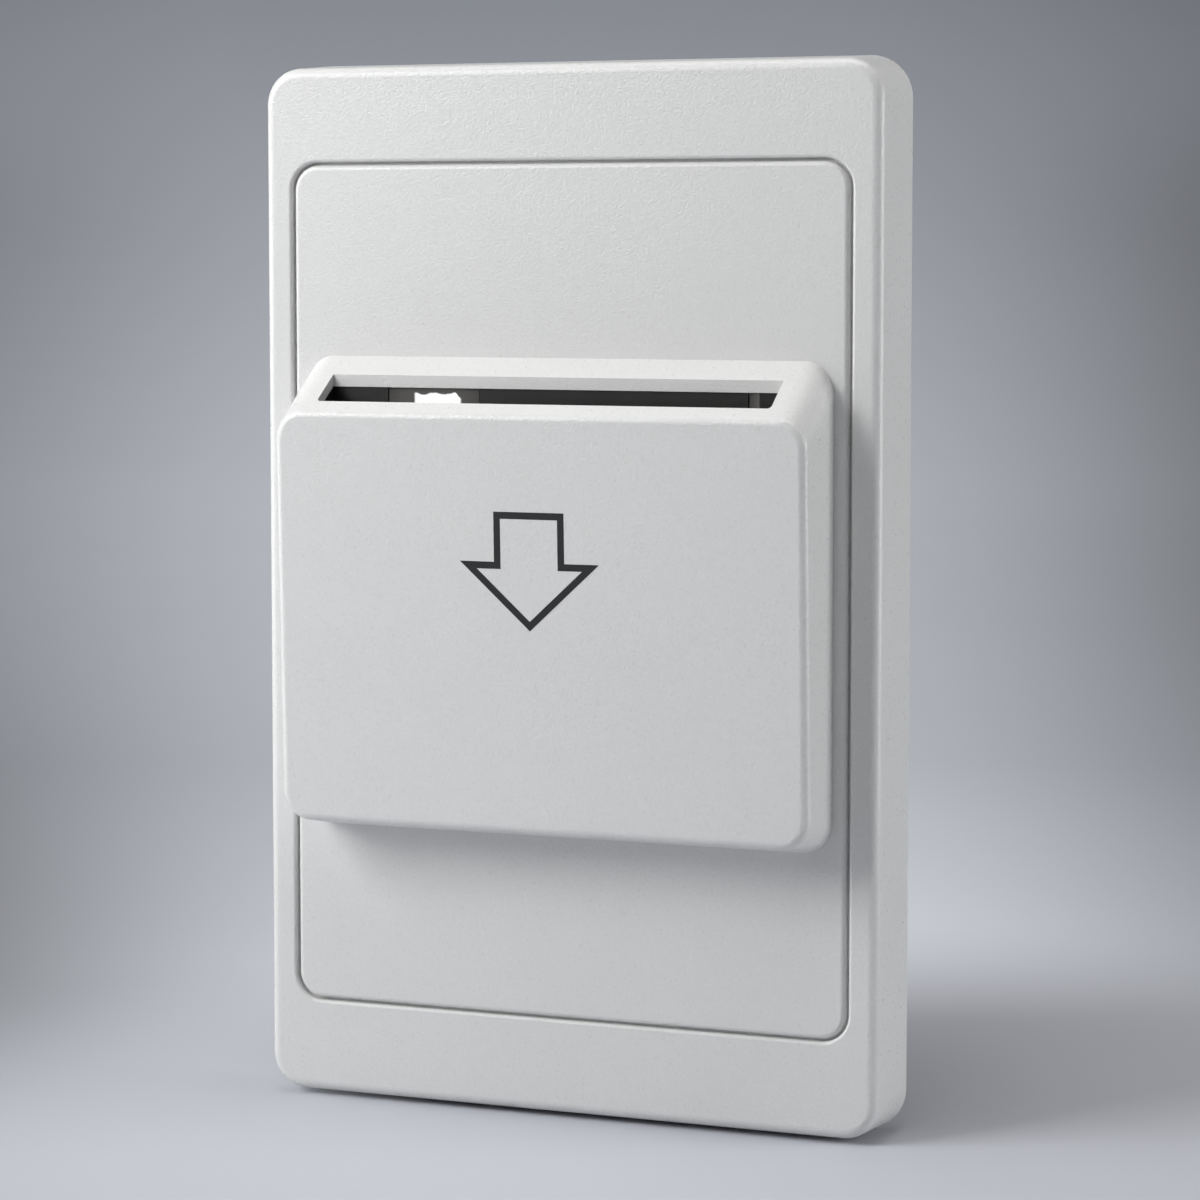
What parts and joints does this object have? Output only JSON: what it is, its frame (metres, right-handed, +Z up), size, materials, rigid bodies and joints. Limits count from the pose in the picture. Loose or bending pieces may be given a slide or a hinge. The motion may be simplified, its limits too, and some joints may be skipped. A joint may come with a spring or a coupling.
{
  "type": "hotel key card switch",
  "caption": "Rectangular wall switch with a raised card pocket, a slot in its sloped top, and a rear housing with relay, board and screw terminals.",
  "frame": {"origin": "midway between the two wall screws, on the wall's surface, which is also the plate's back face", "axes": "+Z up, +Y into the wall along the screws, +X to the right seen from the room; the front faces -Y"},
  "size_m": [0.077, 0.047, 0.1226],
  "materials": {
    "plate_plastic": "fine leathery grain",
    "liner_plastic": "smooth, matt, brown black",
    "frosted_plastic": "frosted light guide",
    "base_plastic": "satin moulded nylon",
    "screw_steel": "bright zinc plate",
    "spring_steel": "bright spring strip and wire",
    "board_green": "green mask over glass laminate",
    "relay_case": "blue sealed case",
    "capacitor_case": "yellow case",
    "capacitor_sleeve": "dark shrunk sleeve",
    "varistor_coat": "dipped blue resin",
    "chip_case": "black moulding",
    "resistor_coat": "green cement coat",
    "lamp_lens": "clear lens",
    "lever_plastic": "natural acetal",
    "plunger_plastic": "red acetal",
    "tinned_copper": "tin plate",
    "terminal_plastic": "green polyamide",
    "clamp_brass": "plain brass"
  },
  "bodies": {
    "base": {"mounting_plate": "base_plastic", "cover_clips": "spring_steel", "clip_rivets": "screw_steel", "rear_housing": "base_plastic", "housing_screws": "screw_steel", "control_board": "board_green", "board_screws": "screw_steel", "relay": "relay_case", "film_capacitor": "capacitor_case", "electrolytic_capacitor": "capacitor_sleeve", "varistor": "varistor_coat", "fuse": "chip_case", "bridge_rectifier": "chip_case", "power_resistor": "resistor_coat", "timer_chip": "chip_case", "surface_resistors": "chip_case", "led_lamp": "lamp_lens", "lever_pin": "screw_steel", "lever_spring": "spring_steel", "switch_body": "chip_case", "switch_pins": "tinned_copper", "terminal_block": "terminal_plastic", "terminal_tongues": "tinned_copper"},
    "front_cover": {"trim_frame": "plate_plastic", "centre_panel": "plate_plastic", "card_pocket": "plate_plastic", "card_guide": "liner_plastic", "light_guide": "frosted_plastic", "pocket_screws": "screw_steel"},
    "lever": {"card_lever": "lever_plastic"},
    "plunger": {"switch_plunger": "plunger_plastic"},
    "screw_1": {"terminal_screw_1": "screw_steel"},
    "clamp_1": {"terminal_clamp_1": "clamp_brass"},
    "screw_2": {"terminal_screw_2": "screw_steel"},
    "clamp_2": {"terminal_clamp_2": "clamp_brass"},
    "screw_3": {"terminal_screw_3": "screw_steel"},
    "clamp_3": {"terminal_clamp_3": "clamp_brass"},
    "screw_4": {"terminal_screw_4": "screw_steel"},
    "clamp_4": {"terminal_clamp_4": "clamp_brass"}
  },
  "joints": [
    {"name": "cover_pull", "type": "slide", "parent": "base", "child": "front_cover", "axis": [0, -1, 0], "range_m": [0, 0.03], "deforming": ["cover_clips"]},
    {"name": "card_press", "type": "hinge", "parent": "base", "child": "lever", "pos_m": [0, -0.0046, -0.0206], "axis": [1, 0, 0], "range_deg": [0, 18], "stiffness_Nm_per_rad": 0.01, "springref_deg": -11.46, "deforming": ["lever_spring"]},
    {"name": "switch_press", "type": "slide", "parent": "base", "child": "plunger", "axis": [0, 1, 0], "range_m": [0, 0.0013]},
    {"name": "screw_turn_1", "type": "hinge", "parent": "base", "child": "screw_1", "pos_m": [-0.01143, 0.0232, -0.02675], "axis": [0, -1, 0], "range_deg": [0, 1441]},
    {"name": "clamp_rise_1", "type": "slide", "parent": "base", "child": "clamp_1", "axis": [0, 1, 0], "range_m": [0, 0.002]},
    {"name": "screw_turn_2", "type": "hinge", "parent": "base", "child": "screw_2", "pos_m": [-0.00381, 0.0232, -0.02675], "axis": [0, -1, 0], "range_deg": [0, 1441]},
    {"name": "clamp_rise_2", "type": "slide", "parent": "base", "child": "clamp_2", "axis": [0, 1, 0], "range_m": [0, 0.002]},
    {"name": "screw_turn_3", "type": "hinge", "parent": "base", "child": "screw_3", "pos_m": [0.00381, 0.0232, -0.02675], "axis": [0, -1, 0], "range_deg": [0, 1441]},
    {"name": "clamp_rise_3", "type": "slide", "parent": "base", "child": "clamp_3", "axis": [0, 1, 0], "range_m": [0, 0.002]},
    {"name": "screw_turn_4", "type": "hinge", "parent": "base", "child": "screw_4", "pos_m": [0.01143, 0.0232, -0.02675], "axis": [0, -1, 0], "range_deg": [0, 1441]},
    {"name": "clamp_rise_4", "type": "slide", "parent": "base", "child": "clamp_4", "axis": [0, 1, 0], "range_m": [0, 0.002]}
  ],
  "couplings": [
    {"joint": "switch_press", "follows": "card_press", "m_per_rad": 0.004},
    {"joint": "screw_turn_1", "follows": "clamp_rise_1", "rad_per_m": 12566},
    {"joint": "screw_turn_2", "follows": "clamp_rise_2", "rad_per_m": 12566},
    {"joint": "screw_turn_3", "follows": "clamp_rise_3", "rad_per_m": 12566},
    {"joint": "screw_turn_4", "follows": "clamp_rise_4", "rad_per_m": 12566}
  ]
}
